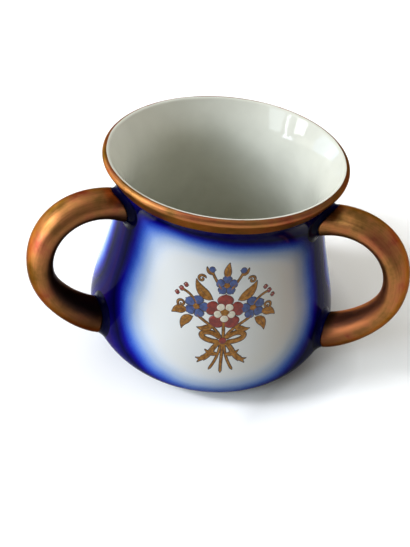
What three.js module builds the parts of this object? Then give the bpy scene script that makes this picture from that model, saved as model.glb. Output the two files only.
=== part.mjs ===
// A three-handled loving cup in glazed porcelain, laid out as the pottery puts it together: one thrown
// body, three cast loop handles a third of a turn apart, a clay slip collar that sticks each handle end
// to the wall, and the gilding round the lip. Millimetres, +Z up. The cup stands on Z = 0 with its axis
// on Z, and the plain front between two handles faces -Y.

import * as THREE from 'three';
import { mergeVertices } from 'three/addons/utils/BufferGeometryUtils.js';

// Outside of the body. A drop is measured down from the top of the lip
const cupHeight = 84.1;
const lipRadius = 45;
const lipFlareAngle = 31;
const lipFlareLength = 4.6;
const neckRadius = 39.9;
const neckDrop = 15.6;
const neckRun = 12.3;
const throatRun = 6;
const bellyRadius = 55.7;
const bellyHeight = 11.9;
const bellyRun = 8.2;

// Foot, walls and floor
const footRadius = 45.5;
const footHeight = 1.4;
const footWidth = 3.4;
const footRecess = 1;
const floorThickness = 4.4;
const floorCornerWidth = 11;
const bellyWall = 4.2;
const neckWall = 3.2;
const lipWall = 2.9;

// Gilding on the outside of the lip, as a thin ring let into the porcelain
const giltDrop = 6.8;
const giltThickness = 0.5;
const giltTopAngle = 62;

// Loop of a handle, along the middle of its section
const handleStandOff = 17.6;
const handleReachHeight = 49.4;
const handleRunAbove = 17.2;
const handleRunBelow = 12.8;
const upperRootDrop = 14.8;
const upperRootAngle = 28;
const upperRootRun = 22.3;
const lowerRootHeight = 18;
const lowerRootAngle = 29;
const lowerRootRun = 8.1;

// Section of a handle: thickness lies in the plane of the loop, width across it
const upperThickness = 12;
const middleThickness = 8.6;
const lowerThickness = 15.4;
const upperWidth = 11.6;
const middleWidth = 13.8;
const lowerWidth = 15.2;

// Slip collar at each end of a handle
const collarDepth = 2.4;
const collarFlare = 2.6;
const collarEdge = 0.3;

// Clearance between pieces that touch on the real cup
const jointGap = 0.3;

// Handles in order round the cup, evenly spaced with the front between the first two
const handleSides = ['left', 'right', 'rear'];

// Fineness of the facets
const turnSteps = 72;
const footSteps = 6;
const sideSteps = 10;
const throatSteps = 3;
const giltSteps = 3;
const rollSteps = 3;
const insideSteps = 7;
const cornerSteps = 4;
const sectionSteps = 20;
const loopSteps = 20;
const filletSteps = 4;

const radians = THREE.MathUtils.degToRad;
const mix = THREE.MathUtils.lerp;
const point = (radius, height) => new THREE.Vector2(radius, height);

// The lip ends in a half round as thick as its wall, tangent to the flare outside and inside
const rollRadius = lipWall / 2;
const rollCentre = point(lipRadius - rollRadius, cupHeight - rollRadius);
const onRoll = (degrees, radius) => point(
  rollCentre.x + radius * Math.cos(radians(degrees)),
  rollCentre.y + radius * Math.sin(radians(degrees)),
);

const neckHeight = cupHeight - neckDrop;
const flareEnd = onRoll(-lipFlareAngle, rollRadius);
const flareSide = new THREE.CubicBezierCurve(
  point(neckRadius, neckHeight),
  point(neckRadius, neckHeight + throatRun),
  point(
    flareEnd.x - lipFlareLength * Math.sin(radians(lipFlareAngle)),
    flareEnd.y - lipFlareLength * Math.cos(radians(lipFlareAngle)),
  ),
  flareEnd,
);
const bellySide = new THREE.CubicBezierCurve(
  point(bellyRadius, bellyHeight),
  point(bellyRadius, bellyHeight + bellyRun),
  point(neckRadius, neckHeight - neckRun),
  point(neckRadius, neckHeight),
);

// A point beside a rising curve: a positive distance lies outside it
function beside(curve, t, distance) {
  const place = curve.getPoint(t);
  const tangent = curve.getTangent(t);
  return point(place.x + distance * tangent.y, place.y - distance * tangent.x);
}

// The place on a rising curve where it passes a height
function atHeight(curve, height) {
  let low = 0;
  let high = 1;
  for (let step = 0; step < 40; step += 1) {
    const middle = (low + high) / 2;
    if (curve.getPoint(middle).y < height) low = middle;
    else high = middle;
  }
  return (low + high) / 2;
}

// A quarter of an ellipse that leaves one point level and reaches the other upright
function quarterRound(from, to, steps) {
  return Array.from({ length: steps + 1 }, (_, step) => {
    const angle = (step / steps) * Math.PI / 2;
    return point(
      mix(from.x, to.x, Math.sin(angle)),
      mix(from.y, to.y, 1 - Math.cos(angle)),
    );
  });
}

const along = (from, to, steps) => Array.from(
  { length: steps + 1 },
  (_, step) => mix(from, to, step / steps),
);

// The gilding runs from its lower edge up the flare and over the roll of the lip
const giltFoot = atHeight(flareSide, cupHeight - giltDrop);
function giltOutline(distance, slack) {
  const slackTurn = THREE.MathUtils.radToDeg(slack / rollRadius);
  const start = atHeight(flareSide, cupHeight - giltDrop - slack);
  return [
    ...along(start, 1, giltSteps).map((t) => beside(flareSide, t, distance)),
    ...along(-lipFlareAngle, giltTopAngle + slackTurn, rollSteps).slice(1)
      .map((degrees) => onRoll(degrees, rollRadius + distance)),
  ];
}

// The outside of the body, foot to gilding, is also what the handles are fitted to
const outsideBelow = [
  point(footRadius, 0),
  ...quarterRound(point(footRadius, footHeight), point(bellyRadius, bellyHeight), footSteps),
  ...along(0, 1, sideSteps).slice(1).map((t) => bellySide.getPoint(t)),
];
const outsideThroat = along(0, giltFoot, throatSteps).slice(1).map((t) => flareSide.getPoint(t));

// A smooth turned solid from a profile that closes on itself or on the axis
function turned(profile) {
  const lathe = new THREE.LatheGeometry(profile, turnSteps);
  lathe.rotateX(Math.PI / 2);
  return closed(lathe);
}

// Joins shared corners and drops the empty triangles at the poles
function closed(geometry) {
  geometry.deleteAttribute('normal');
  geometry.deleteAttribute('uv');
  const merged = mergeVertices(geometry, 1e-4);
  const corners = merged.getIndex().array;
  const kept = [];
  for (let first = 0; first < corners.length; first += 3) {
    const [a, b, c] = corners.slice(first, first + 3);
    if (a !== b && b !== c && c !== a) kept.push(a, b, c);
  }
  merged.setIndex(kept);
  merged.computeVertexNormals();
  return merged;
}

function bodyGeometry() {
  const footInside = footRadius - footWidth;
  const floorTop = footRecess + floorThickness;
  const recess = giltThickness + jointGap;
  const giltBed = giltOutline(-recess, jointGap);
  const bedTop = giltTopAngle + THREE.MathUtils.radToDeg(jointGap / rollRadius);
  const bedFoot = atHeight(flareSide, cupHeight - giltDrop - jointGap);
  const insideEnd = 180 - lipFlareAngle;
  const inside = [
    ...along(1, 0, throatSteps).map((t) => beside(flareSide, t, -mix(neckWall, lipWall, t))),
    ...along(1, 0, insideSteps).slice(1).map((t) => beside(bellySide, t, -mix(bellyWall, neckWall, t))),
  ];
  const innerBelly = inside[inside.length - 1];
  const corner = quarterRound(point(innerBelly.x - floorCornerWidth, floorTop), innerBelly, cornerSteps);
  return turned([
    point(0, footRecess),
    point(footInside, footRecess),
    point(footInside, 0),
    ...outsideBelow,
    ...outsideThroat.slice(0, -1),
    flareSide.getPoint(bedFoot),
    ...giltBed,
    ...along(bedTop, insideEnd, rollSteps).map((degrees) => onRoll(degrees, rollRadius)),
    ...inside.slice(1),
    ...corner.reverse().slice(1),
    point(0, floorTop),
  ]);
}

function giltGeometry() {
  const outer = giltOutline(0, 0);
  const inner = giltOutline(-giltThickness, 0).reverse();
  return turned([...outer, ...inner, outer[0]]);
}

// The middle line of a handle, radius against height, carried on into the wall at both ends
const outsideShape = [...outsideBelow, ...outsideThroat, flareSide.getPoint(1)];
function outsideRadius(height) {
  const above = outsideShape.findIndex((place) => place.y > height);
  if (above < 0) return lipRadius;
  if (above === 0) return footRadius;
  const low = outsideShape[above - 1];
  const high = outsideShape[above];
  return mix(low.x, high.x, (height - low.y) / (high.y - low.y));
}

const headingOf = (degrees) => point(Math.cos(radians(degrees)), Math.sin(radians(degrees)));
const handleReach = bellyRadius + handleStandOff;
const rootDepth = bellyWall + upperThickness;
const upperRootHeight = cupHeight - upperRootDrop;
const upperRoot = point(outsideRadius(upperRootHeight), upperRootHeight);
const lowerRoot = point(outsideRadius(lowerRootHeight), lowerRootHeight);
const upperHeading = headingOf(upperRootAngle);
const lowerHeading = headingOf(lowerRootAngle);
const reachPoint = point(handleReach, handleReachHeight);
const handleLine = new THREE.CurvePath();
handleLine.add(new THREE.LineCurve(
  upperRoot.clone().addScaledVector(upperHeading, -rootDepth),
  upperRoot,
));
handleLine.add(new THREE.CubicBezierCurve(
  upperRoot,
  upperRoot.clone().addScaledVector(upperHeading, upperRootRun),
  point(handleReach, handleReachHeight + handleRunAbove),
  reachPoint,
));
handleLine.add(new THREE.CubicBezierCurve(
  reachPoint,
  point(handleReach, handleReachHeight - handleRunBelow),
  lowerRoot.clone().addScaledVector(lowerHeading, lowerRootRun),
  lowerRoot,
));
handleLine.add(new THREE.LineCurve(
  lowerRoot,
  lowerRoot.clone().addScaledVector(lowerHeading, -rootDepth),
));
const rootShare = rootDepth / handleLine.getLength();

// A value that runs smoothly from the upper end of the loop through its middle to the lower end
function taper(t, upper, middle, lower) {
  const share = THREE.MathUtils.clamp((t - rootShare) / (1 - 2 * rootShare), 0, 1);
  const bow = middle - (upper + lower) / 2;
  return mix(upper, lower, share) + 4 * bow * share * (1 - share);
}

// A point of the handle's section, grown outward by some length, at a share of its size. The loop lies
// in the plane X = 0 and reaches towards -Y
function sectionPoint(t, angle, grown, share) {
  const centre = handleLine.getPoint(t);
  const tangent = handleLine.getTangent(t);
  const thick = taper(t, upperThickness, middleThickness, lowerThickness) / 2 + grown;
  const wide = taper(t, upperWidth, middleWidth, lowerWidth) / 2 + grown;
  const rise = share * thick * Math.cos(angle);
  return new THREE.Vector3(
    share * wide * Math.sin(angle),
    -(centre.x - rise * tangent.y),
    centre.y + rise * tangent.x,
  );
}

// How far a point stands outside the body, measured square to the wall at the point's height
const slopeSpan = 0.5;
function standOff(place) {
  const level = Math.hypot(place.x, place.y) - outsideRadius(place.z);
  const widening = outsideRadius(place.z + slopeSpan) - outsideRadius(place.z - slopeSpan);
  return level / Math.hypot(1, widening / (2 * slopeSpan));
}

// The place along the loop, from its middle towards one end, where a line of the handle comes down to a
// distance from the body
function meeting(end, angle, grown, share, distance) {
  let away = 0.5;
  let near = end;
  for (let step = 1; step <= 60; step += 1) {
    const t = mix(0.5, end, step / 60);
    if (standOff(sectionPoint(t, angle, grown, share)) < distance) {
      near = t;
      break;
    }
    away = t;
  }
  for (let step = 0; step < 30; step += 1) {
    const middle = (away + near) / 2;
    if (standOff(sectionPoint(middle, angle, grown, share)) < distance) near = middle;
    else away = middle;
  }
  return (away + near) / 2;
}

const sectionAngles = Array.from({ length: sectionSteps }, (_, step) => 2 * Math.PI * step / sectionSteps);

// A ring of points round the handle that all stand the same distance from the body
function fittedRing(end, grown, share, distance) {
  const angles = share > 0 ? sectionAngles : [0];
  return angles.map((angle) => {
    const t = meeting(end, angle, grown, share, distance);
    return sectionPoint(t, angle, grown, share);
  });
}

// A closed solid over a row of rings, each a loop of points or the single point at a pole
function skinned(rings) {
  const places = rings.flat();
  const starts = [];
  let count = 0;
  for (const ring of rings) {
    starts.push(count);
    count += ring.length;
  }
  const faces = [];
  for (let row = 0; row + 1 < rings.length; row += 1) {
    for (let step = 0; step < sectionSteps; step += 1) {
      const next = (step + 1) % sectionSteps;
      const corner = (ring, index) => starts[ring] + (rings[ring].length > 1 ? index : 0);
      if (rings[row].length > 1) faces.push(corner(row, step), corner(row + 1, step), corner(row, next));
      if (rings[row + 1].length > 1) faces.push(corner(row, next), corner(row + 1, step), corner(row + 1, next));
    }
  }
  const geometry = new THREE.BufferGeometry().setFromPoints(places);
  geometry.setIndex(faces);
  geometry.computeVertexNormals();
  return geometry;
}

// The loop between its two collars, with both ends shaped to the wall they face
function handleGeometry() {
  const distance = collarDepth + jointGap;
  const starts = sectionAngles.map((angle) => meeting(0, angle, 0, 1, distance));
  const ends = sectionAngles.map((angle) => meeting(1, angle, 0, 1, distance));
  const loop = along(0, 1, loopSteps).map((share) => sectionAngles.map(
    (angle, index) => sectionPoint(mix(starts[index], ends[index], share), angle, 0, 1),
  ));
  return skinned([
    fittedRing(0, 0, 0, distance),
    fittedRing(0, 0, 0.5, distance),
    ...loop,
    fittedRing(1, 0, 0.5, distance),
    fittedRing(1, 0, 0, distance),
  ]);
}

// A collar starts flush with the handle and spreads onto the wall in a hollow fillet
function collarGeometry(end) {
  const fillet = along(90, 0, filletSteps).map((degrees) => fittedRing(
    end,
    collarFlare * (1 - Math.sin(radians(degrees))),
    1,
    mix(collarDepth, jointGap + collarEdge, Math.cos(radians(degrees))),
  ));
  const against = [1, 0.8, 0.55, 0.3, 0].map((share) => fittedRing(end, collarFlare, share, jointGap));
  const rings = [
    fittedRing(end, 0, 0, collarDepth),
    fittedRing(end, 0, 0.5, collarDepth),
    ...fillet,
    ...against,
  ];
  return skinned(end === 0 ? rings.reverse() : rings);
}

const porcelain = new THREE.MeshStandardMaterial({ color: '#e6ebf1', roughness: 0.12, metalness: 0 });
const gilding = new THREE.MeshStandardMaterial({ color: '#c07f42', roughness: 0.34, metalness: 1 });
const cobaltGlaze = new THREE.MeshStandardMaterial({ color: '#161c63', roughness: 0.12, metalness: 0 });

const cup = new THREE.Group();

function place(name, geometry, material, azimuth = 0) {
  const mesh = new THREE.Mesh(geometry, material);
  mesh.name = name;
  mesh.rotation.z = radians(azimuth);
  cup.add(mesh);
}

place('cup_body', bodyGeometry(), porcelain);
place('gilt_lip_band', giltGeometry(), gilding);
for (const [order, side] of handleSides.entries()) {
  const azimuth = (order - 0.5) * 360 / handleSides.length;
  place(`handle_${side}`, handleGeometry(), gilding, azimuth);
  place(`slip_collar_${side}_upper`, collarGeometry(0), cobaltGlaze, azimuth);
  place(`slip_collar_${side}_lower`, collarGeometry(1), cobaltGlaze, azimuth);
}

export default cup;
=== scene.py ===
import bmesh
import bpy
import numpy as np
from mathutils import Matrix, Vector


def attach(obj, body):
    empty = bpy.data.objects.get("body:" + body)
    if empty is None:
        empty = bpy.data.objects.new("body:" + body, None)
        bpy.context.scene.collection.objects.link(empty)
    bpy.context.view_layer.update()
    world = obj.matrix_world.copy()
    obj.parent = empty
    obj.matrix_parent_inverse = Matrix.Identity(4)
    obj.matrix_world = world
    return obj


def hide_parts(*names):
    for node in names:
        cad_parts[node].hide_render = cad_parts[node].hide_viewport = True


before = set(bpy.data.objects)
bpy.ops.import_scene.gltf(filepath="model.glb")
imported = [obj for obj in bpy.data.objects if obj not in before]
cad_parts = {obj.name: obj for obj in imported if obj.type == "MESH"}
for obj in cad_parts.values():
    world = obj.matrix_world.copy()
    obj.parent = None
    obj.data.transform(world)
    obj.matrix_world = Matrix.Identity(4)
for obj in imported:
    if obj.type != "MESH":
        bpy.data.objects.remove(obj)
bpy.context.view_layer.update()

# Lengths are millimetres until a mesh is made. An azimuth is in degrees round the cup's axis, from the
# front (-Y) towards +X. An outline's two columns are radius and height.
mm = 0.001
mergeDistance = 0.0005  # points nearer than this become one


# Colours, nodes and meshes

def linearOf(hexColour):
    # each sRGB channel goes through the straight or the power part of the sRGB curve
    channels = np.array([int(hexColour[place:place + 2], 16) for place in (1, 3, 5)]) / 255
    linear = np.where(channels <= 0.04045, channels / 12.92, ((channels + 0.055) / 1.055) ** 2.4)
    return (*linear.tolist(), 1.0)


def addNode(tree, kind, inputs=None, stops=None, **settings):
    # inputs are sockets to link or plain values, and stops fill a colour ramp
    node = tree.nodes.new("ShaderNode" + kind)
    for name, value in settings.items():
        setattr(node, name, value)
    for name, value in (inputs or {}).items():
        if isinstance(value, bpy.types.NodeSocket):
            tree.links.new(value, node.inputs[name])
        else:
            node.inputs[name].default_value = value
    for order, (position, colour) in enumerate(stops or []):
        ramp = node.color_ramp.elements
        stop = ramp[order] if order < 2 else ramp.new(position)
        stop.position, stop.color = position, linearOf(colour)
    return node


def newMaterial(name, **shaderValues):
    # shaderValues name the shader's sockets, with _ for a space
    material = bpy.data.materials.new(name)
    material.use_nodes = True
    shader = material.node_tree.nodes["Principled BSDF"]
    for socket, value in shaderValues.items():
        shader.inputs[socket.replace("_", " ")].default_value = value
    return material, material.node_tree, shader


def feed(tree, shader, **sources):
    # sources name the shader's sockets too
    for socket, source in sources.items():
        tree.links.new(source, shader.inputs[socket.replace("_", " ")])


def blobs(tree, place, size, **values):
    # noise in blobs about this many millimetres across
    return addNode(tree, "TexNoise", {"Vector": place, "Scale": 1 / (size * mm), **values})


def mixed(tree, share, first, second, **settings):
    # all of the first colour where share is 0, and all of the second where it is 1
    return addNode(tree, "Mix", {0: share, 6: first, 7: second}, data_type="RGBA", **settings).outputs[2]


def addPiece(name, grids, material, replaced=(), attributes=None, second=None, secondRows=None):
    # Each grid is rows of points, and every row closes on itself. Rows whose points are all alike
    # become poles, and a grid that is inside out by its volume is turned over. A second material goes
    # on the faces after the rows that secondRows marks.
    places, quads, count = [], [], 0
    for grid in grids:
        rows, columns = grid.shape[:2]
        index = np.arange(rows * columns).reshape(rows, columns)
        upper, lower = index[:-1], index[1:]
        faces = np.stack([upper, np.roll(upper, -1, 1), np.roll(lower, -1, 1), lower], -1).reshape(-1, 4)
        flat = grid.reshape(-1, 3)
        a, b, c, d = (flat[faces[:, corner]] for corner in range(4))
        volume = (a * np.cross(b, c) + a * np.cross(c, d)).sum()
        quads.append((faces if volume > 0 else faces[:, ::-1]) + count)
        places.append(flat)
        count += len(flat)
    mesh = bpy.data.meshes.new(name)
    mesh.from_pydata(np.concatenate(places) * mm, [], np.concatenate(quads))
    mesh.polygons.foreach_set("use_smooth", np.ones(len(mesh.polygons), bool))
    for key, values in (attributes or {}).items():
        kind, field = ("FLOAT_VECTOR", "vector") if values.ndim == 3 else ("FLOAT", "value")
        layer = mesh.attributes.new(key, kind, "POINT")
        layer.data.foreach_set(field, values.ravel().astype(np.float32))
    mesh.materials.append(material)
    if second:
        mesh.materials.append(second)
        mesh.polygons.foreach_set("material_index", np.repeat(secondRows, columns).astype(np.int32))
    work = bmesh.new()
    work.from_mesh(mesh)
    bmesh.ops.remove_doubles(work, verts=work.verts, dist=mergeDistance * mm)
    work.to_mesh(mesh)
    work.free()
    piece = bpy.data.objects.new(name, mesh)
    bpy.context.scene.collection.objects.link(piece)
    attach(piece, "root")
    if replaced:
        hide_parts(*replaced)
    print(f"{name}: {len(mesh.polygons)} faces")
    return piece


def smooth(low, high, value):
    # 0 below low, 1 above high, and 3x^2 - 2x^3 between
    share = np.clip((value - low) / (high - low), 0, 1)
    return share * share * (3 - 2 * share)


# Curves in the plane of radius and height

def bezier(corners, steps):
    # a cubic from the first corner to the last, drawn towards the two between
    t = np.linspace(0, 1, steps + 1)[:, None]
    a, b, c, d = np.array(corners, float)
    return (1 - t) ** 3 * a + 3 * (1 - t) ** 2 * t * b + 3 * (1 - t) * t ** 2 * c + t ** 3 * d


def quarterRound(start, end, steps):
    # a quarter of an ellipse that leaves the start level and reaches the end upright
    turn = np.linspace(0, np.pi / 2, steps + 1)
    start, end = np.array(start, float), np.array(end, float)
    return start + (end - start) * np.stack([np.sin(turn), 1 - np.cos(turn)], -1)


def arc(centre, radius, start, end, steps):
    # radius times the cosine and sine of an angle that runs from start to end, in degrees
    turn = np.radians(np.linspace(start, end, steps + 1))
    return np.array(centre) + radius * np.stack([np.cos(turn), np.sin(turn)], -1)


def outwardOf(outline):
    # the unit tangent of a rising outline turned a quarter turn to its right
    run = np.gradient(outline, axis=0)
    run /= np.linalg.norm(run, axis=1, keepdims=True)
    return np.stack([run[:, 1], -run[:, 0]], -1)


def runAlong(line):
    # distance covered at each point of a line, from its first
    return np.concatenate([[0], np.cumsum(np.linalg.norm(np.diff(line, axis=0), axis=1))])


# Outline of the thrown body

cup = {
    "height": 84.1, "lipRadius": 45, "flareAngle": 31, "flareLength": 4.6,
    "neckRadius": 39.9, "neckDrop": 15.6, "neckRun": 12.3, "throatRun": 6,
    "bellyRadius": 55.7, "bellyHeight": 11.9, "bellyRun": 8.2,
    "footRadius": 45.5, "footHeight": 1.4, "footWidth": 3.4, "footRecess": 1, "footEdge": 0.5,
    "floorThickness": 4.4, "floorCornerWidth": 11, "bellyWall": 4.2, "neckWall": 3.2, "lipWall": 2.9,
    "turnSteps": 288, "sideSteps": 60, "curveSteps": 24, "cornerSteps": 14, "flatSteps": 8, "footSteps": 4,
}

rollRadius = cup["lipWall"] / 2
rollCentre = (cup["lipRadius"] - rollRadius, cup["height"] - rollRadius)
neckHeight = cup["height"] - cup["neckDrop"]
flareTurn = np.radians(cup["flareAngle"])
flareEnd = arc(rollCentre, rollRadius, -cup["flareAngle"], 0, 1)[0]
flare = bezier([
    (cup["neckRadius"], neckHeight),
    (cup["neckRadius"], neckHeight + cup["throatRun"]),
    flareEnd - cup["flareLength"] * np.array([np.sin(flareTurn), np.cos(flareTurn)]),
    flareEnd,
], cup["curveSteps"])
side = bezier([
    (cup["bellyRadius"], cup["bellyHeight"]),
    (cup["bellyRadius"], cup["bellyHeight"] + cup["bellyRun"]),
    (cup["neckRadius"], neckHeight - cup["neckRun"]),
    (cup["neckRadius"], neckHeight),
], cup["sideSteps"])
roll = arc(rollCentre, rollRadius, -cup["flareAngle"], 180 - cup["flareAngle"], cup["curveSteps"])
wallLine = np.concatenate([
    arc((cup["footRadius"] - cup["footEdge"], cup["footEdge"]), cup["footEdge"], -90, 0, cup["footSteps"]),
    quarterRound((cup["footRadius"], cup["footHeight"]), (cup["bellyRadius"], cup["bellyHeight"]),
                 cup["curveSteps"]),
    side[1:], flare[1:], roll[1:],
])
wallRun = runAlong(wallLine)
wallOut = outwardOf(wallLine)
rollStart = wallRun[-len(roll)]
wallRising = wallRun <= rollStart  # the part of the line with one radius for each height


def onWall(azimuth, along, proud):
    # the point that far along the outside line from the foot, moved out along the wall's normal and
    # turned about Z: x = radius sin(azimuth), y = -radius cos(azimuth)
    radius = np.interp(along, wallRun, wallLine[:, 0]) + proud * np.interp(along, wallRun, wallOut[:, 0])
    height = np.interp(along, wallRun, wallLine[:, 1]) + proud * np.interp(along, wallRun, wallOut[:, 1])
    turn = np.radians(azimuth)
    return np.stack([radius * np.sin(turn), -radius * np.cos(turn), height], -1)


def alongAt(height):
    # how far along the outside line a height under the roll of the lip is reached
    return np.interp(height, wallLine[wallRising, 1], wallRun[wallRising])


def wallRadius(height):
    # the outside line's radius at a height under the roll of the lip
    return np.interp(height, wallLine[wallRising, 1], wallLine[wallRising, 0])


# Body: porcelain with cobalt sprayed round three white panels

airbrush = {
    "panelAzimuths": (2.7, 120, -120), "panelHalfWidths": (46.7, 43, 43),  # degrees, each sprayed by eye
    "panelMiddle": 40, "panelAbove": 29.6, "panelBelow": 30.5,
    "panelTilt": 0.07,  # millimetres that the upper edge falls in each degree
    "cornersAbove": 4, "cornersBelow": 1.9,  # 2 is an ellipse, and more is squarer
    "hardnessAbove": 1.5,  # more than 1 narrows the fade under the neck
    "whiteUpTo": 0.55, "sprayedTo": 1.4,  # reaches that the colour ramp runs between
    "thinnest": 0.12, "thickest": 0.89,  # places on that ramp
    "sideShade": 0.11,  # how much further on it the cobalt goes at the left (violet), and less at the right, where the near black is painted shade on the side away from the window
    "rollRows": 8,  # how many rows of the lip's roll the spray reaches
    "spraySize": 0.7, "sprayAmount": 0.03, "driftSize": 16, "driftAmount": 0.10,
    "clayRoughness": 0.75, "rippleSize": 9, "rippleDepth": 0.06,
}

glaze = {
    "ior": 1.5, "outerRoughness": 0.08, "innerRoughness": 0.07, "rootRoughness": 0.06,
    # A level of 0.5 is the shine of a real glaze. These are lower, to match the cup, whose cobalt stays
    # dark beside pale things and whose inside shows the window faintly.
    "outerShine": 0.014, "innerShine": 0.24, "rootShine": 0.021,
    "poolSize": 18, "rippleSize": 8, "rippleDepth": 0.1,  # inside
    "rootPoolSize": 5, "rootRippleSize": 6, "rootRippleDepth": 0.06,
}


def airbrushedGlaze():
    # Feldspathic porcelain under a clear glaze, with cobalt sprayed on before it was fired: white in
    # the middle of each panel, through sky blue to near black, violet on the left, and glass-smooth but
    # for a slow ripple. The foot ring is bare, matt clay.
    material, tree, shader = newMaterial("airbrushed_porcelain_glaze", IOR=glaze["ior"],
                                         Specular_IOR_Level=glaze["outerShine"])
    place = addNode(tree, "TexCoord").outputs["Object"]
    depth = addNode(tree, "Attribute", attribute_name="airbrush").outputs["Fac"]
    bare = addNode(tree, "Attribute", attribute_name="bareClay").outputs["Fac"]
    spray = blobs(tree, place, airbrush["spraySize"])
    drift = blobs(tree, place, airbrush["driftSize"])
    fine = addNode(tree, "Math", {0: spray.outputs["Fac"], 1: airbrush["sprayAmount"], 2: depth},
                   operation="MULTIPLY_ADD")
    broad = addNode(tree, "Math", {0: drift.outputs["Fac"], 1: airbrush["driftAmount"], 2: fine.outputs[0]},
                    operation="MULTIPLY_ADD")
    middle = (airbrush["sprayAmount"] + airbrush["driftAmount"]) / 2  # what the two noises add on average
    centred = addNode(tree, "Math", {0: broad.outputs[0], 1: middle}, operation="SUBTRACT")
    sprayed = addNode(tree, "ValToRGB", {"Fac": centred.outputs[0]}, stops=[
        (0.08, "#F2F4F4"), (0.18, "#EFF3F8"), (0.24, "#E9F0FA"), (0.29, "#DBE7FA"), (0.35, "#C4D5F1"),
        (0.41, "#ABC4F0"), (0.47, "#84A4EA"), (0.53, "#577EE0"), (0.58, "#3658CC"), (0.63, "#1F33B2"),
        (0.67, "#120D90"), (0.72, "#0A066A"), (0.77, "#04043C"), (0.86, "#0E0660"), (0.93, "#180A74"),
        (1.00, "#2C1264"),
    ])
    colour = mixed(tree, bare, sprayed.outputs["Color"], linearOf("#D3CBBE"))
    dull = addNode(tree, "MapRange", {"Value": bare, "To Min": glaze["outerRoughness"],
                                      "To Max": airbrush["clayRoughness"]})
    ripple = blobs(tree, place, airbrush["rippleSize"])
    bump = addNode(tree, "Bump", {"Height": ripple.outputs["Fac"], "Distance": airbrush["rippleDepth"] * mm})
    feed(tree, shader, Base_Color=colour, Roughness=dull.outputs[0], Normal=bump.outputs[0])
    return material


def shadedClearGlaze():
    # The same porcelain with nothing sprayed on: a pale grey-green under clear glaze, greyer where it has
    # pooled, and the window shows in it faintly but sharply. It is darker than the white of the outside,
    # which is painted shade over the whole inside.
    material, tree, shader = newMaterial("clear_glaze_with_painted_shade", Roughness=glaze["innerRoughness"],
                                         IOR=glaze["ior"], Specular_IOR_Level=glaze["innerShine"])
    place = addNode(tree, "TexCoord").outputs["Object"]
    pool = blobs(tree, place, glaze["poolSize"], Detail=3.0)
    # a darker white than the outside's: painted shade
    colour = addNode(tree, "ValToRGB", {"Fac": pool.outputs["Fac"]}, stops=[
        (0.35, "#CECFC6"), (0.65, "#D7D8CF"),
    ])
    ripple = blobs(tree, place, glaze["rippleSize"])
    bump = addNode(tree, "Bump", {"Height": ripple.outputs["Fac"], "Distance": glaze["rippleDepth"] * mm})
    feed(tree, shader, Base_Color=colour.outputs["Color"], Normal=bump.outputs[0])
    return material


def bodyOutline():
    # the whole section from the axis under the floor, round the foot, wall and lip, to the axis inside,
    # and the row where its outside line starts
    footInside = cup["footRadius"] - cup["footWidth"]
    floorTop = cup["footRecess"] + cup["floorThickness"]
    flatPoints = cup["flatSteps"] + 1
    bevel = 0.3 * cup["footEdge"]
    under = np.stack([np.linspace(0, footInside - cup["footEdge"], flatPoints),
                      np.full(flatPoints, cup["footRecess"])], -1)
    footTurn = np.array([(footInside, cup["footRecess"] - bevel), (footInside, cup["footEdge"]),
                         (footInside + bevel, bevel), (footInside + cup["footEdge"], 0)])
    flareWall = np.linspace(cup["neckWall"], cup["lipWall"], len(flare))[:, None]
    sideWall = np.linspace(cup["bellyWall"], cup["neckWall"], len(side))[:, None]
    insideFlare = (flare - flareWall * outwardOf(flare))[::-1]
    insideSide = (side - sideWall * outwardOf(side))[::-1]
    corner = quarterRound((insideSide[-1, 0] - cup["floorCornerWidth"], floorTop), insideSide[-1],
                          cup["cornerSteps"])[::-1]
    floor = np.stack([np.linspace(corner[-1, 0], 0, flatPoints), np.full(flatPoints, floorTop)], -1)
    inside = np.concatenate([insideFlare[1:], insideSide[1:], corner[1:], floor[1:]])
    return np.concatenate([under, footTurn, wallLine, inside]), len(under) + len(footTurn)


def makeBody():
    outline, wallFirst = bodyOutline()
    azimuth = np.arange(cup["turnSteps"]) * 360 / cup["turnSteps"]
    turn = np.radians(azimuth)
    radius, height = outline[:, :1], outline[:, 1:]
    grid = np.stack([radius * np.sin(turn), -radius * np.cos(turn), height + 0 * turn], -1)
    # distance from a panel's middle as a share of the way to its edge, by the squared-off oval
    # (across^n + up^n)^(1/n), where across and up are 1 at the edge, and n differs above and below
    offsets = (azimuth - np.array(airbrush["panelAzimuths"])[:, None] + 180) % 360 - 180
    nearest = np.argmin(np.abs(offsets), axis=0)
    offset = offsets[nearest, np.arange(len(azimuth))]
    rise = height - airbrush["panelMiddle"]
    across = np.abs(offset) / np.array(airbrush["panelHalfWidths"])[nearest]
    above = np.maximum(rise, 0) / (airbrush["panelAbove"] - airbrush["panelTilt"] * offset)
    up = np.where(rise > 0, above ** airbrush["hardnessAbove"], -rise / airbrush["panelBelow"])
    corners = np.where(rise > 0, airbrush["cornersAbove"], airbrush["cornersBelow"])
    reach = (across ** corners + up ** corners) ** (1 / corners)
    painted = (reach - airbrush["whiteUpTo"]) / (airbrush["sprayedTo"] - airbrush["whiteUpTo"])
    # the right side, away from the window, is held short of the violet at near black: painted shade
    painted = np.minimum(painted, airbrush["thickest"] - airbrush["sideShade"] * np.sin(turn))
    row = np.arange(len(outline))[:, None]
    lastPainted = wallFirst + len(wallLine) - len(roll) + airbrush["rollRows"]
    painted = np.where((row >= wallFirst) & (row <= lastPainted), np.clip(painted, airbrush["thinnest"], 1),
                       airbrush["thinnest"])
    bare = np.where((row >= wallFirst - 2) & (row <= wallFirst + 1), 1, 0) + 0 * turn  # the foot's edge
    return addPiece("glazed_body", [grid], airbrushedGlaze(), ["cup_body"],
                    {"airbrush": painted, "bareClay": bare}, shadedClearGlaze(), row[:-1, 0] > lastPainted)


makeBody()


# Gilding

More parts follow.
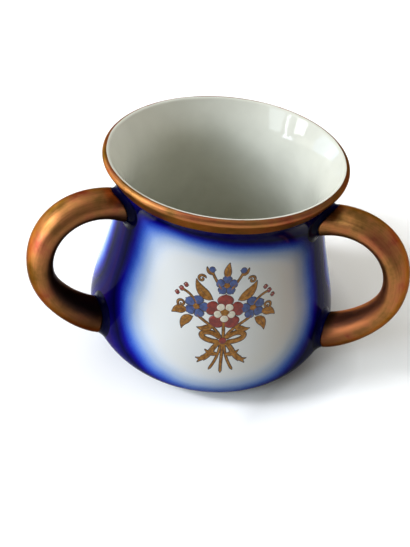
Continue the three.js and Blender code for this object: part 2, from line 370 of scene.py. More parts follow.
gilt = {
    "drop": 6.8,  # how far below the rim the band starts
    "topAngle": 93,  # where it ends on the lip's roll, in degrees up from level
    "proud": 0.05, "sunk": 0.25, "wobble": 0.12, "bandSteps": 32,
    "patchSize": 10, "scuffSize": 0.9, "brushSize": 0.55,
    "brushLength": 14,  # how many times longer than broad a brush mark is
    "brushShare": 0.4, "scuffShare": 0.5, "roughness": (0.31, 0.41), "reliefDepth": 0.005,
    # the highlight colour is a painted highlight, and the shade colour is painted shade
    "edgeTint": "#B4A498", "highlightColour": "#F8985E", "shadeColour": "#3E2418",
    "lipShade": (0.55, 10, 45, 85, 140),  # painted shade on the lip's right side, away from the window: share, then the azimuths between which it comes and goes
}


def wornGilding():
    # Burnished bright gold on glaze, laid on with a brush and rubbed by hands and polish: olive where it is
    # thick, copper-red where it is thin, satin along the brush marks. It carries painted shade in dark brown
    # on the lip's right side and on the handles' inner and lower sides, and a painted coppery highlight on
    # the right handle's lower arm.
    material, tree, shader = newMaterial("worn_burnished_gilding", Metallic=1.0,
                                         Specular_Tint=linearOf(gilt["edgeTint"]))
    place = addNode(tree, "TexCoord").outputs["Object"]
    along = addNode(tree, "Attribute", attribute_name="brushed").outputs["Vector"]
    # shares of painted shade and of painted highlight, carried on the meshes
    paintedShade = addNode(tree, "Attribute", attribute_name="paintedShade").outputs["Fac"]
    paintedHighlight = addNode(tree, "Attribute", attribute_name="paintedHighlight").outputs["Fac"]
    patch = blobs(tree, place, gilt["patchSize"], Detail=5.0, Roughness=0.6)
    scuff = blobs(tree, place, gilt["scuffSize"], Detail=4.0)
    brush = blobs(tree, along, gilt["brushSize"], Detail=3.0)
    colour = addNode(tree, "ValToRGB", {"Fac": patch.outputs["Fac"]}, stops=[
        (0.34, "#725028"), (0.44, "#8C5E34"), (0.52, "#9A623A"), (0.60, "#965638"), (0.68, "#8A4230"),
    ])
    streaks = addNode(tree, "ValToRGB", {"Fac": brush.outputs["Fac"]}, stops=[
        (0.32, "#B4AEA6"), (0.62, "#FFFFFF"),
    ])
    marked = mixed(tree, gilt["brushShare"], colour.outputs["Color"], streaks.outputs["Color"],
                   blend_type="MULTIPLY")
    # a painted coppery highlight, then painted dark brown shade, mixed over the gold
    bright = mixed(tree, paintedHighlight, marked, linearOf(gilt["highlightColour"]))
    dark = mixed(tree, paintedShade, bright, linearOf(gilt["shadeColour"]))
    uneven = addNode(tree, "Math", {0: scuff.outputs["Fac"], 1: gilt["scuffShare"], 2: brush.outputs["Fac"]},
                     operation="MULTIPLY_ADD")
    smoothest, roughest = gilt["roughness"]
    rough = addNode(tree, "MapRange", {"Value": uneven.outputs[0], "From Min": 0.5, "From Max": 1.0,
                                       "To Min": smoothest, "To Max": roughest})
    bump = addNode(tree, "Bump", {"Height": uneven.outputs[0], "Distance": gilt["reliefDepth"] * mm})
    feed(tree, shader, Base_Color=dark, Roughness=rough.outputs[0], Normal=bump.outputs[0])
    return material


gilding = wornGilding()


def makeLipBand():
    # a strip laid over the flare and half the roll, with a hand-painted edge: its lower and upper
    # limits along the wall's line wander by a few slow sines of the azimuth, and it thins to nothing
    # there by the ninth power of the way from its middle. Each row is a section, and the last row is
    # the first again.
    azimuth = np.arange(cup["turnSteps"]) * 360 / cup["turnSteps"]
    turn = np.radians(azimuth)
    wander = np.sin(3 * turn + 1) + 0.6 * np.sin(8 * turn + 2) + 0.35 * np.sin(23 * turn)
    low = alongAt(cup["height"] - gilt["drop"]) + gilt["wobble"] * wander
    high = rollStart + np.radians(gilt["topAngle"] + cup["flareAngle"]) * rollRadius \
        + 0.5 * gilt["wobble"] * np.roll(wander, 40)
    share = np.linspace(0, 1, gilt["bandSteps"] + 1)[:, None]
    along = low + (high - low) * share
    proud = gilt["proud"] * (1 - np.abs(2 * share - 1) ** 9) + 0 * turn
    outer = onWall(azimuth, along, proud)
    inner = onWall(azimuth, along[::-1], np.full_like(along, -gilt["sunk"]))
    section = np.concatenate([outer, inner])
    level = np.concatenate([along, along[::-1]])
    ringRun = cup["lipRadius"] / gilt["brushLength"]
    marks = np.stack([ringRun * np.sin(turn) + 0 * level, ringRun * np.cos(turn) + 0 * level, level], -1) * mm
    # painted shade on the right of the lip, away from the window
    most, comes, full, goes, gone = gilt["lipShade"]
    lipShadeShare = most * smooth(comes, full, azimuth) * (1 - smooth(goes, gone, azimuth)) + 0 * level
    rounds = np.r_[:len(turn), 0]
    return addPiece("gilded_lip", [section.transpose(1, 0, 2)[rounds]], gilding, ["gilt_lip_band"],
                    {"brushed": marks.transpose(1, 0, 2)[rounds], "paintedShade": lipShadeShare.T[rounds]})


makeLipBand()


# Handles: a loop between two roots, its section an oval that thins towards the middle

handle = {
    "azimuths": {"left": -60, "right": 60, "rear": 180},
    "standOff": 17.6, "reachHeight": 49.4, "runAbove": 17.2, "runBelow": 12.8,
    "upperRootDrop": 14.8, "upperRootAngle": 28, "upperRootRun": 22.3,
    "lowerRootHeight": 18, "lowerRootAngle": 29, "lowerRootRun": 8.1,
    "thickness": (12, 8.6, 15.4), "width": (11.6, 13.8, 15.2),
    "collarDepth": 2.4, "collarFlare": 2.7, "paintWobble": 0.22,
    "collarTuck": 0.8, "collarInset": 0.05,  # how far the collar goes on inside the gilding, and how deep
    "collarSunk": 0.04, "collarRooted": 0.8,  # how deep in the wall its edge and its closed end lie
    # painted shade on each handle: its share on the inner side of the loop and on the lower arm
    "innerShade": {"left": 0.85, "right": 0, "rear": 0.6},
    "lowerShade": {"left": 0.85, "right": 0.5, "rear": 0.45},
    "paintedHighlight": {"left": 0, "right": 0.9, "rear": 0.2},  # a painted coppery highlight on top of the lower arm
    # where the painted shade and the painted highlight come and are full: round the section, from -1 outside
    # the loop to 1 inside it, and by the share along the loop
    "shadeSide": (-0.6, 0.4), "shadeAlong": (0.55, 0.9),
    "highlightSide": (0, 0.7), "highlightFrom": (0.3, 0.65), "highlightUntil": (0.92, 1),
    "markSpread": (5, 6),  # the radii that brush marks are spaced round the section by
    "aroundSteps": 64, "alongSteps": 150, "collarSteps": 12,
}


rootDepth = cup["bellyWall"] + handle["thickness"][0]
upperHeight = cup["height"] - handle["upperRootDrop"]
upperRoot = np.array([wallRadius(upperHeight), upperHeight])
lowerRoot = np.array([wallRadius(handle["lowerRootHeight"]), handle["lowerRootHeight"]])
upperHeading = arc((0, 0), 1, handle["upperRootAngle"], 0, 1)[0]
lowerHeading = arc((0, 0), 1, handle["lowerRootAngle"], 0, 1)[0]
reach = cup["bellyRadius"] + handle["standOff"]
reachPoint = np.array([reach, handle["reachHeight"]])
loopLine = np.concatenate([
    np.linspace(upperRoot - rootDepth * upperHeading, upperRoot, 200),
    bezier([upperRoot, upperRoot + handle["upperRootRun"] * upperHeading,
            reachPoint + (0, handle["runAbove"]), reachPoint], 600)[1:],
    bezier([reachPoint, reachPoint - (0, handle["runBelow"]),
            lowerRoot + handle["lowerRootRun"] * lowerHeading, lowerRoot], 600)[1:],
    np.linspace(lowerRoot, lowerRoot - rootDepth * lowerHeading, 200)[1:],
])
loopRun = runAlong(loopLine)
loopShare = loopRun / loopRun[-1]
loopOut = outwardOf(loopLine)
rootShare = rootDepth / loopRun[-1]


def taper(t, sizes):
    # a parabola through the upper, middle and lower size, flat along the stubs in the wall
    upper, middle, lower = sizes
    share = np.clip((t - rootShare) / (1 - 2 * rootShare), 0, 1)
    return upper + (lower - upper) * share + 4 * (middle - (upper + lower) / 2) * share * (1 - share)


def onHandle(t, angle, grown, share=1):
    # the oval section at t along the loop: share times half its thickness by cosine in the loop's
    # plane and half its width by sine across it, both grown; the loop lies over -Y
    rise = -share * (taper(t, handle["thickness"]) / 2 + grown) * np.cos(angle)
    across = share * (taper(t, handle["width"]) / 2 + grown) * np.sin(angle)
    radius = np.interp(t, loopShare, loopLine[:, 0]) + rise * np.interp(t, loopShare, loopOut[:, 0])
    height = np.interp(t, loopShare, loopLine[:, 1]) + rise * np.interp(t, loopShare, loopOut[:, 1])
    return np.stack([across + 0 * radius, -radius, height], -1)


def distanceToWall(place):
    # measured square to the wall's slope at the point's height
    level = np.hypot(place[..., 0], place[..., 1]) - wallRadius(place[..., 2])
    slope = wallRadius(place[..., 2] + 0.5) - wallRadius(place[..., 2] - 0.5)
    return level / np.hypot(1, slope)


def meeting(end, angle, grown, distance, share=1):
    # how far along the loop each line of the handle comes within a distance of the wall: the first of
    # 60 steps from the middle that does, then halved 30 times
    steps = np.linspace(0.5, end, 61)[:, None]
    closer = distanceToWall(onHandle(steps, angle[None, :], grown, share)) < distance
    first = np.argmax(closer, axis=0)
    far, near = steps[first - 1, 0], steps[first, 0]
    for _ in range(30):
        middle = (far + near) / 2
        closer = distanceToWall(onHandle(middle, angle, grown, share)) < distance
        far, near = np.where(closer, far, middle), np.where(closer, middle, near)
    return (far + near) / 2


def ringAt(end, grown, distance, share=1):
    # one row of points round the handle near an end, all alike where the share is 0
    angle = np.arange(handle["aroundSteps"]) * 2 * np.pi / handle["aroundSteps"]
    if share == 0:
        angle = 0 * angle
    return onHandle(meeting(end, angle, grown, distance, share), angle, grown, share)


def turnedTo(azimuth, grid):
    # turned about Z from the front to an azimuth
    turn = np.radians(azimuth)
    x, y, z = grid[..., 0], grid[..., 1], grid[..., 2]
    return np.stack([x * np.cos(turn) - y * np.sin(turn), x * np.sin(turn) + y * np.cos(turn), z], -1)


def loopGrid():
    # rows run from one painted edge to the other, and close in the middle of the section at each end; with
    # them go the shares of painted shade on the inner side and on the lower arm, of the painted highlight,
    # and the place for the brush marks
    angle = np.arange(handle["aroundSteps"]) * 2 * np.pi / handle["aroundSteps"]
    edge = handle["collarDepth"] + handle["paintWobble"] * (np.sin(2 * angle + 1) + 0.5 * np.sin(5 * angle))
    first, last = meeting(0, angle, 0, edge), meeting(1, angle, 0, edge)
    share = np.linspace(0, 1, handle["alongSteps"] + 1)[:, None]
    t = first + (last - first) * share
    top, bottom = (np.stack([ringAt(end, 0, handle["collarDepth"], inward) for inward in (0, 0.5)])
                   for end in (0, 1))
    grid = np.concatenate([top, onHandle(t, angle, 0), bottom[::-1]])
    share = np.concatenate([[0, 0], share[:, 0], [1, 1]])[:, None]
    inner = smooth(*handle["shadeSide"], -np.cos(angle)) * np.ones((len(grid), 1))
    lower = smooth(*handle["shadeAlong"], share)
    # where the painted highlight goes
    worn = smooth(*handle["highlightSide"], -np.cos(angle)) * smooth(*handle["highlightFrom"], share) \
        * (1 - smooth(*handle["highlightUntil"], share))
    level = np.concatenate([[t[0], t[0]], t, [t[-1], t[-1]]]) * loopRun[-1] / gilt["brushLength"]
    thick, wide = handle["markSpread"]
    marks = np.stack([level, thick * np.cos(angle) + 0 * level, wide * np.sin(angle) + 0 * level], -1) * mm
    return grid, inner, lower, worn, marks


def collarGrid(end):
    # from a tuck inside the gilding, flush with the handle, out over a hollow quarter round to the
    # wall, and closed inside the wall
    flare, depth, inset = handle["collarFlare"], handle["collarDepth"], handle["collarInset"]
    rings = [ringAt(end, -inset, depth + handle["collarTuck"], share) for share in (0, 0.5, 1)]
    for turn in np.radians(np.linspace(90, 0, handle["collarSteps"] + 1)):
        rings.append(ringAt(end, flare * (1 - np.sin(turn)) - inset * np.sin(turn),
                            depth * (1 - np.cos(turn)) - handle["collarSunk"] * np.cos(turn)))
    rings += [ringAt(end, 0.5 * flare, -handle["collarRooted"], share) for share in (1, 0.5, 0)]
    return np.stack(rings)


def cobaltGlaze():
    # The same sprayed cobalt, laid on thick at the roots: near black, smooth, a little bluer where thin
    material, tree, shader = newMaterial("cobalt_glaze", Roughness=glaze["rootRoughness"], IOR=glaze["ior"],
                                         Specular_IOR_Level=glaze["rootShine"])
    place = addNode(tree, "TexCoord").outputs["Object"]
    pool = blobs(tree, place, glaze["rootPoolSize"], Detail=3.0)
    colour = addNode(tree, "ValToRGB", {"Fac": pool.outputs["Fac"]}, stops=[
        (0.30, "#030320"), (0.75, "#08083E"),
    ])
    ripple = blobs(tree, place, glaze["rootRippleSize"])
    bump = addNode(tree, "Bump", {"Height": ripple.outputs["Fac"], "Distance": glaze["rootRippleDepth"] * mm})
    feed(tree, shader, Base_Color=colour.outputs["Color"], Normal=bump.outputs[0])
    return material


cobalt = cobaltGlaze()
loop, inner, lower, worn, marks = loopGrid()
collars = {"upper": collarGrid(0), "lower": collarGrid(1)}
for name, azimuth in handle["azimuths"].items():
    # a painted coppery highlight on top of the lower arm, strongest on the right handle
    paintedHighlight = handle["paintedHighlight"][name] * worn
    # painted shade on the inner side of each loop and on its lower arm
    paintedShade = np.maximum(handle["innerShade"][name] * inner, handle["lowerShade"][name] * lower)
    paintedShade = paintedShade * (1 - paintedHighlight)  # no painted shade under the painted highlight
    addPiece(f"gilded_handle_{name}", [turnedTo(azimuth, loop)], gilding, [f"handle_{name}"],
             {"paintedShade": paintedShade, "paintedHighlight": paintedHighlight, "brushed": marks})
    for level, collar in collars.items():
        addPiece(f"root_glaze_{name}_{level}", [turnedTo(azimuth, collar)], cobalt,
                 [f"slip_collar_{name}_{level}"])


# Posy: flowers tied with a ribbon, drawn on the front panel in thin enamel and gold

posy = {
    "azimuth": 3.6, "height": 41.5,  # where the drawing's own zero lies on the wall
    "edge": 0.3,  # the dark line's width round each shape
    "sunk": 0.05, "outlineTop": 0.03, "fillTop": 0.07, "layer": 0.05,
    "thinBelow": 0.12,  # a shape loses height where its half-width is less than this
    "aroundSteps": 12,
    # half-widths of the gilt shapes, and of the dark lines on leaves, petals and ribbon
    "stem": 0.34, "twig": 0.26, "tendril": 0.3, "ribbon": 0.85,
    "midrib": 0.11, "vein": 0.08, "petalLine": 0.09, "foldLine": 0.1,
    "petalWidth": 0.5332,  # 0.67 makes neighbours touch
    "poolSize": 1.6, "enamelRoughness": 0.32, "enamelDepth": 0.02,
    "wearSize": 1.1, "goldMetal": 0.75, "goldRoughness": (0.36, 0.52),
}

strokes = {"outline": [], "gold": [], "blue": [], "red": [], "white": []}


def blade(path, widths, top):
    # a flat lens along a path in the drawing: the width times a cosine across it, and from sunk to top
    # by the square root of the sine, thinning to nothing where the width does
    run = np.gradient(path, axis=0)
    run /= np.linalg.norm(run, axis=1, keepdims=True)
    turn = np.arange(posy["aroundSteps"]) * 2 * np.pi / posy["aroundSteps"]
    across = np.stack([-run[:, 1], run[:, 0]], -1)
    flat = path[:, None] + (widths[:, None] * np.cos(turn))[..., None] * across[:, None]
    half = (top + posy["sunk"]) / 2 * np.clip(widths / posy["thinBelow"], 0, 1)[:, None]
    lift = (top - posy["sunk"]) / 2 + half * np.sign(np.sin(turn)) * np.abs(np.sin(turn)) ** 0.5
    along = alongAt(posy["height"]) + flat[..., 1]
    azimuth = posy["azimuth"] + np.degrees(flat[..., 0] / np.interp(along, wallRun, wallLine[:, 0]))
    return onWall(azimuth, along, lift)


def draw(colour, path, widths, layer=0):
    # a shape of one colour over the same shape in dark, wider by the edge and with round ends
    base = layer * posy["layer"]
    run = np.gradient(path, axis=0)
    run /= np.linalg.norm(run, axis=1, keepdims=True)
    beyond = np.array([1, 0.92, 0.7, 0.38])
    longer = np.concatenate([path[0] - posy["edge"] * beyond[:, None] * run[0], path,
                             path[-1] + posy["edge"] * beyond[::-1, None] * run[-1]])
    cap = posy["edge"] * np.sqrt(1 - beyond ** 2)
    wider = np.concatenate([cap + widths[0], widths + posy["edge"], cap[::-1] + widths[-1]])
    wider[[0, -1]] = 0
    strokes["outline"].append(blade(longer, wider, base + posy["outlineTop"]))
    strokes[colour].append(blade(path, widths, base + posy["fillTop"]))


def scratch(path, half, layer=0.5):
    # a thin dark line on top of a shape, pointed at both ends
    t = np.linspace(0, 1, len(path))
    top = layer * posy["layer"] + posy["fillTop"]
    strokes["outline"].append(blade(path, half * np.sin(np.pi * t) ** 0.5, top))


def leafWidths(half, steps, fullest=0.4):
    # half times the sine of pi t^k, with k set so that the fullest part lies that far along
    t = np.linspace(0, 1, steps + 1)
    return half * np.sin(np.pi * t ** (np.log(0.5) / np.log(fullest)))


def ribbonWidths(half, steps, tip=0.15):
    # constant but for rounded ends
    t = np.linspace(0, 1, steps + 1)
    return half * np.sqrt(np.clip(1 - (1 - np.clip(np.minimum(t, 1 - t) / tip, 0, 1)) ** 2, 0, 1))


def disc(colour, centre, radius, layer=0):
    # a straight path across the disc, as wide at each step as the circle is there
    turn = np.linspace(np.pi, 0, 13)
    path = np.array(centre) + radius * np.stack([np.cos(turn), 0 * turn], -1)
    draw(colour, path, radius * np.sin(turn), layer)


def leaf(root, tip, half, bend=0.18, veins=3):
    # a curved gilt blade from root to tip, bowed by a share of its length, with a dark midrib
    root, tip = np.array(root, float), np.array(tip, float)
    run = tip - root
    bow = bend * np.array([-run[1], run[0]])
    path = bezier([root, root + run * 0.33 + bow, root + run * 0.67 + bow, tip], 20)
    draw("gold", path, leafWidths(half, 20))
    scratch(path[1:18], posy["midrib"])
    ahead = run / np.linalg.norm(run)
    for share in np.linspace(0.28, 0.62, veins):
        start = path[int(20 * share)]
        for side in (-0.9, 0.9):
            aim = ahead + side * np.array([-ahead[1], ahead[0]])
            scratch(start + np.linspace(0.1, 0.62 * half, 6)[:, None] * aim, posy["vein"])


def flower(centre, radius, colour, petals=5, turned=90, heart=0.26, layer=0):
    # petals that swell towards their ends, three dark lines on each, and a gilt heart with dark dots
    centre = np.array(centre, float)
    half = posy["petalWidth"] * radius * np.tan(np.pi / petals)
    for order in range(petals):
        turn = np.radians(turned + order * 360 / petals)
        aim = np.array([np.cos(turn), np.sin(turn)])
        side = np.array([-aim[1], aim[0]])
        path = centre + radius * np.linspace(0.12, 1, 17)[:, None] * aim
        t = np.linspace(0, 1, 17)
        draw(colour, path, half * np.sin(np.pi * t ** 1.5) ** 0.62, layer)
        for lean in (-0.16, 0, 0.16):
            line = radius * np.linspace(0.34, 0.74 - abs(lean), 7)[:, None] * (aim + lean * side)
            scratch(centre + line, posy["petalLine"], layer + 0.5)
    disc("gold", centre, radius * heart, layer + 1)
    for turn in np.radians(np.arange(6) * 60 + 10):
        dot = centre + radius * heart * 0.55 * np.array([np.cos(turn), np.sin(turn)])
        scratch(dot + np.linspace(-0.14, 0.14, 5)[:, None] * np.array([1, 0]), 0.14, layer + 1.5)


def curl(start, heading, size, turns, hand):
    # a tendril whose radius shrinks evenly, to 0.18 of its size, as it turns round the spiral's eye
    share = np.linspace(0, 1, 33)
    turn = np.radians(heading - hand * 90) + hand * 2 * np.pi * turns * share
    radius = size * (1 - 0.82 * share)
    eye = np.array(start) - size * np.array([np.cos(turn[0]), np.sin(turn[0])])
    path = eye + radius[:, None] * np.stack([np.cos(turn), np.sin(turn)], -1)
    pointed = np.minimum(1, np.minimum(share, 1 - share) / 0.08) ** 0.5
    draw("gold", path, posy["tendril"] * (1 - 0.35 * share) * pointed)


def stem(corners, half=posy["stem"]):
    draw("gold", bezier(corners, 24), ribbonWidths(half, 24, 0.06))


def drawPosy():
    for hand in (-1, 1):
        stem([(0.3 * hand, -9), (1.5 * hand, -3), (6 * hand, -2), (10.4 * hand, 2)])
        stem([(0.5 * hand, -8.5), (1 * hand, -14), (2 * hand, -17), (4.4 * hand, -21.3)])
        stem([(10 * hand, 6), (12 * hand, 9), (13.5 * hand, 10), (15.6 * hand, 10.4)], posy["twig"])
        stem([(1.4 * hand, 12), (3.4 * hand, 15.5), (4.6 * hand, 17.2), (5.2 * hand, 19)], posy["twig"])
        leaf((4.6 * hand, 8.4), (10.6 * hand, 15.4), 1.75, -0.16 * hand)
        leaf((13.6 * hand, 2.6), (19.2 * hand, 0.2), 1.5, 0.16 * hand)
        leaf((11.4 * hand, 0.4), (15.4 * hand, -5.2), 1.5, 0.2 * hand)
        leaf((4.2 * hand, -2.2), (9.6 * hand, -3.6), 1.2, -0.2 * hand, 2)
        leaf((1.4 * hand, -14), (6.2 * hand, -12.6), 0.9, -0.2 * hand, 0)
        curl((16.2 * hand, 3.2), 20 if hand > 0 else 160, 1.7, 1.15, hand)
        curl((7.4 * hand, 16.6), 70 if hand > 0 else 110, 1.5, 1.1, -hand)
        flower((10.2 * hand, 4.8), 4.5, "blue", turned=90 + 14 * hand)
        for x, y, radius in ((15.8, 10.6, 0.85), (17.4, 8.6, 0.75), (14.2, 12.4, 0.75)):
            disc("red", (x * hand, y), radius)
            disc("white", (x * hand - 0.25, y + 0.25), 0.16, 0.6)
        disc("blue", (5.4 * hand, 20), 1.05)
        leaf((5.0 * hand, 18.2), (7.2 * hand, 20.8), 0.55, -0.2 * hand, 0)
        # ribbon: a loop and a tail with two points
        bow = bezier([(0.6 * hand, -7.6), (6 * hand, -1.4), (13.5 * hand, -8.4), (0.8 * hand, -9)], 32)
        fold = bezier([(1.4 * hand, -7.4), (6 * hand, -1.9), (12.8 * hand, -8.2), (1.6 * hand, -8.9)], 32)
        draw("gold", bow, ribbonWidths(posy["ribbon"], 32, 0.05), 0.6)
        scratch(fold, posy["foldLine"], 1.1)
        tail = bezier([(0.7 * hand, -9), (4.4 * hand, -11.5), (3.4 * hand, -14.5), (7.6 * hand, -17)], 24)
        draw("gold", tail, ribbonWidths(posy["ribbon"], 24, 0.05) * np.linspace(0.8, 1.15, 25), 0.6)
        scratch(tail[1:22], posy["foldLine"], 1.1)
        for lean in (-0.55, 0.55):
            tip = tail[-1] + 1.9 * np.array([hand * np.cos(lean - 0.35), np.sin(lean - 0.35)])
            draw("gold", bezier([tail[-3], tail[-2], tail[-1], tip], 12), leafWidths(0.55, 12, 0.45), 0.6)
    stem([(0, -9), (0.2, -13), (-0.2, -17), (0, -22.6)], 0.4)
    stem([(0, -9), (0.4, -5), (-0.4, -2), (0, 2)], 0.4)
    leaf((0, 17), (0.3, 23), 1.15, 0.05, 2)
    flower((0, 14.2), 3.9, "blue", turned=90)
    flower((0, 3.4), 7.2, "red", turned=90, heart=0.2)
    flower((0, 3.4), 4.0, "white", turned=54, heart=0.36, layer=1)
    disc("red", (0, -8.4), 1.35, 1.2)


def enamel(name, pale, deep):
    # Overglaze enamel, ground glass painted on and fired: slightly raised and softly glossy, a little
    # thicker and darker in some places than others
    material, tree, shader = newMaterial(name, Roughness=posy["enamelRoughness"])
    place = addNode(tree, "TexCoord").outputs["Object"]
    pool = blobs(tree, place, posy["poolSize"], Detail=3.0)
    colour = addNode(tree, "ValToRGB", {"Fac": pool.outputs["Fac"]}, stops=[(0.36, deep), (0.64, pale)])
    bump = addNode(tree, "Bump", {"Height": pool.outputs["Fac"], "Distance": posy["enamelDepth"] * mm})
    feed(tree, shader, Base_Color=colour.outputs["Color"], Normal=bump.outputs[0])
    return material


def paintedGold():
    # Matt gold paint fired on the glaze: brownish, with a soft metallic sheen and worn paler spots
    material, tree, shader = newMaterial("painted_matt_gold", Metallic=posy["goldMetal"])
    place = addNode(tree, "TexCoord").outputs["Object"]
    worn = blobs(tree, place, posy["wearSize"], Detail=4.0)
    colour = addNode(tree, "ValToRGB", {"Fac": worn.outputs["Fac"]}, stops=[
        (0.34, "#6C4318"), (0.66, "#9C6E34"),
    ])
    smoothest, roughest = posy["goldRoughness"]
    rough = addNode(tree, "MapRange", {"Value": worn.outputs["Fac"], "To Min": smoothest, "To Max": roughest})
    feed(tree, shader, Base_Color=colour.outputs["Color"], Roughness=rough.outputs[0])
    return material


drawPosy()
for colour, (material, slot) in {
    "outline": (enamel("dark_brown_enamel", "#3A2214", "#1E110A"), "white_porcelain"),
    "gold": (paintedGold(), "gilding"),
    "blue": (enamel("mid_blue_enamel", "#445C94", "#2A3C74"), "cobalt_glaze"),
    "red": (enamel("brick_red_enamel", "#952E1E", "#6C1B12"), "white_porcelain"),
    "white": (enamel("cream_enamel", "#EDE8DA", "#DDD5C2"), "white_porcelain"),
}.items():
    addPiece(f"posy_{colour}", strokes[colour], material)


# Floor, room, lamps and camera

paper = {
    "half": 30000, "roughness": 0.9,
    "colour": "#F6F9FE",  # what the camera and shiny things see
    "bounce": "#645F57",  # what lights the cup from below
    # painted shadow: how far out it darkens where the cup covers it, to what, and the X where this comes and
    # is full; the window's side has none
    "paintedShadow": (20, "#84878B", 10, 45),
    # light on the paper alone, for the shadow's edge: strength, spread, azimuth, elevation, colour
    "sun": (1.4, 12, -85, 35, "#FFFFFF"),
}

room = {
    "low": "#7E7D7E", "high": "#B4A98C", "between": (0.25, 0.45),  # what lights the cup, by the ray's rise
    "lowSeen": "#F4F6F8", "highSeen": "#D2D2D0", "seenUpTo": 0.9,  # what the camera and shiny things see
    # how bright it is in front, where the viewer stands, and the ray's Y where this is so and where it ends
    "front": (0.4, -0.9, 0.1),
}

lamps = {
    "distance": 6,  # metres
    # light off the ceiling, the right-hand wall and the table: strength, spread, azimuth, elevation, colour
    "washes": {
        "ceiling": (0.5, 40, -100, 60, "#F2F5FF"), "right_wall": (1.0, 50, 118, 42, "#EEF2F8"),
        "bounced": (0.7, 26, -54, 30, "#E8F4FF"),
    },
    "mirrored": ("ceiling",),  # the washes that show in the glazes
    # each pane of the window to the left: strength, azimuth, elevation, width and height in degrees, colour
    "panes": {
        "bright_pane": (1.4, -87, 30, 12, 18, "#F9FBFF"), "low_pane": (0.2, -97, 12, 24, 12, "#FFF6E6"),
        "window_edge": (0.45, -71, 25, 3, 30, "#F0F8FF"), "garden_pane": (0.8, -57, 30, 14, 28, "#E8F6FF"),
        "far_pane": (0.04, -132, 9, 5, 4, "#FFFFFF"),
    },
    # seen in the gilding and glazes alone: the pale ceiling, the room behind, and the table by the window
    "glows": {
        "ceiling_glow": (0.3, -110, 74, 46, 36, "#FFFFFF"), "window_top": (0.25, -113, 48, 20, 16, "#FFFFFF"),
        "window_foot": (1.4, -74, 3, 14, 22, "#E6EEFF"), "back_glow": (0.8, -126, 12, 32, 18, "#B8D4FF"),
    },
    "tableGlow": (3, (-340, 20, 4), (280, 420)),  # radiance, and centre and size in millimetres
}


def backgroundRay(tree):
    # 1 for a ray from the camera, or off or through something shiny, which all show the background
    ray = addNode(tree, "LightPath").outputs
    seen = addNode(tree, "Math", {0: ray["Is Camera Ray"], 1: ray["Is Glossy Ray"]}, operation="ADD")
    through = addNode(tree, "Math", {0: seen.outputs[0], 1: ray["Is Transmission Ray"]}, operation="ADD",
                      use_clamp=True)
    return through.outputs[0]


def makeFloor():
    # a square of matt white paper, with a painted shadow where the cup covers it on the side away from the
    # window
    half = paper["half"] * mm
    mesh = bpy.data.meshes.new("floor")
    mesh.from_pydata([(-half, -half, 0), (half, -half, 0), (half, half, 0), (-half, half, 0)], [],
                     [(0, 1, 2, 3)])
    material, tree, shader = newMaterial("pale_paper", Roughness=paper["roughness"], Specular_IOR_Level=0.0)
    width, dark, comes, full = paper["paintedShadow"]
    # painted shadow: ambient occlusion darkens the paper near the cup, on the side away from the window only
    clearance = addNode(tree, "AmbientOcclusion", {"Distance": width * mm})
    place = addNode(tree, "SeparateXYZ", {"Vector": addNode(tree, "TexCoord").outputs["Object"]})
    lit = addNode(tree, "MapRange", {"Value": place.outputs["X"], "From Min": full * mm,
                                     "From Max": comes * mm})
    bare = addNode(tree, "Math", {0: clearance.outputs["AO"], 1: lit.outputs[0]}, operation="MAXIMUM")
    pale = mixed(tree, bare.outputs[0], linearOf(dark), linearOf(paper["colour"]))
    feed(tree, shader, Base_Color=mixed(tree, backgroundRay(tree), linearOf(paper["bounce"]), pale))
    mesh.materials.append(material)
    floor = bpy.data.objects.new("floor", mesh)
    bpy.context.scene.collection.objects.link(floor)
    return floor


def makeWorld():
    # the room: it looks pale, lights the cup dimly near the horizon and warmer overhead, and is darker
    # in front to all but the camera
    world = bpy.data.worlds.new("studio")
    bpy.context.scene.world = world
    world.use_nodes = True
    tree = world.node_tree
    towards = addNode(tree, "TexCoord").outputs["Generated"]
    parts = addNode(tree, "SeparateXYZ", {"Vector": towards})
    lowest, highest = room["between"]
    light = addNode(tree, "ValToRGB", {"Fac": parts.outputs["Z"]}, stops=[
        (lowest, room["low"]), (highest, room["high"]),
    ])
    look = addNode(tree, "ValToRGB", {"Fac": parts.outputs["Z"]}, stops=[
        (0.0, room["lowSeen"]), (room["seenUpTo"], room["highSeen"]),
    ])
    colour = mixed(tree, backgroundRay(tree), light.outputs["Color"], look.outputs["Color"])
    dim, nearest, ends = room["front"]
    front = addNode(tree, "MapRange", {"Value": parts.outputs["Y"], "From Min": nearest, "From Max": ends,
                                       "To Min": dim, "To Max": 1.0})
    fromCamera = addNode(tree, "LightPath").outputs["Is Camera Ray"]
    strength = addNode(tree, "Math", {0: front.outputs[0], 1: fromCamera}, operation="MAXIMUM")
    feed(tree, tree.nodes["Background"], Color=colour, Strength=strength.outputs[0])
    print("floor and room made")


def hung(name, lamp):
    # a lamp in the scene that the camera doesn't see
    holder = bpy.data.objects.new(name, lamp)
    holder.visible_camera = False
    bpy.context.scene.collection.objects.link(holder)
    return holder


def aimed(name, lamp, azimuth, elevation):
    # a lamp in that direction from the middle of the cup, facing it
    rise, turn = np.radians(elevation), np.radians(azimuth)
    towards = Vector((np.sin(turn) * np.cos(rise), -np.cos(turn) * np.cos(rise), np.sin(rise)))
    holder = hung(name, lamp)
    holder.rotation_euler = towards.to_track_quat("Z", "Y").to_euler()
    holder.location = Vector((0, 0, cup["height"] / 2 * mm)) + lamps["distance"] * towards
    return holder


def addSun(name, strength, spread, azimuth, elevation, colour):
    sun = bpy.data.lights.new(name, "SUN")
    sun.energy, sun.angle, sun.color = strength, np.radians(spread), linearOf(colour)[:3]
    holder = aimed(name, sun, azimuth, elevation)
    holder.visible_glossy = name in lamps["mirrored"]
    return holder


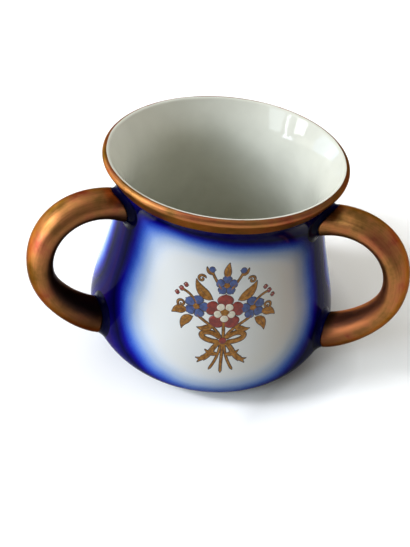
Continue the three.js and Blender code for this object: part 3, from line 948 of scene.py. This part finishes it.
def addPane(name, strength, azimuth, elevation, width, height, colour):
    # a pane of strength E lights the cup as a sun of strength E does: its power is pi d^2 E
    distance = lamps["distance"]
    pane = bpy.data.lights.new(name, "AREA")
    pane.shape = "RECTANGLE"
    pane.size, pane.size_y = (2 * distance * np.tan(np.radians(size) / 2) for size in (width, height))
    pane.energy, pane.color = np.pi * distance ** 2 * strength, linearOf(colour)[:3]
    return aimed(name, pane, azimuth, elevation)


def makeLamps(floor):
    for name, wash in lamps["washes"].items():
        addSun(name, *wash)
    linking = addSun("floor_sun", *paper["sun"]).light_linking
    linking.receiver_collection = bpy.data.collections.new("floor_alone")
    linking.receiver_collection.objects.link(floor)
    for name, pane in lamps["panes"].items():
        addPane(name, *pane)
    for name, glow in lamps["glows"].items():
        addPane(name, *glow).visible_diffuse = False
    radiance, centre, size = lamps["tableGlow"]
    table = bpy.data.lights.new("table_glow", "AREA")
    table.shape = "RECTANGLE"
    table.size, table.size_y = (length * mm for length in size)
    table.energy = np.pi * radiance * table.size * table.size_y
    holder = hung("table_glow", table)
    holder.rotation_euler = (np.pi, 0, 0)  # facing up
    holder.location = Vector(centre) * mm
    holder.visible_diffuse = False
    print("lamps made")


camera = {
    "frame": (410, 547), "focal": 473.3,  # pixels
    "distance": 202.4, "elevation": 43.68, "roll": 5.43, "azimuth": -2.11,
    "aimHeight": 42.05, "shift": (5.26, 15.98),
}


def makeCamera():
    # it looks at the axis from an azimuth and elevation, rolled about its own line of sight, and is
    # then moved sideways in its own plane to frame the cup
    rise, tilt, turn = (np.radians(camera[key]) for key in ("elevation", "roll", "azimuth"))
    back = np.array([np.sin(turn) * np.cos(rise), -np.cos(turn) * np.cos(rise), np.sin(rise)])
    level = np.array([np.cos(turn), np.sin(turn), 0])
    up = np.cross(back, level)
    right, top = np.cos(tilt) * level + np.sin(tilt) * up, np.cos(tilt) * up - np.sin(tilt) * level
    aim = np.array([0, 0, camera["aimHeight"]]) - camera["shift"][0] * right - camera["shift"][1] * top
    eye = aim + camera["distance"] * back
    data = bpy.data.cameras.new("camera")
    data.sensor_width = 36
    data.lens = data.sensor_width * camera["focal"] / max(camera["frame"])
    data.clip_start = 0.01
    holder = bpy.data.objects.new("camera", data)
    turned = np.column_stack([right, top, back, eye * mm]).tolist()
    holder.matrix_world = Matrix(turned + [[0, 0, 0, 1]])
    bpy.context.scene.collection.objects.link(holder)
    bpy.context.scene.camera = holder
    print("camera placed")


makeWorld()
makeLamps(makeFloor())
makeCamera()
bpy.context.scene.view_settings.view_transform = "Standard"
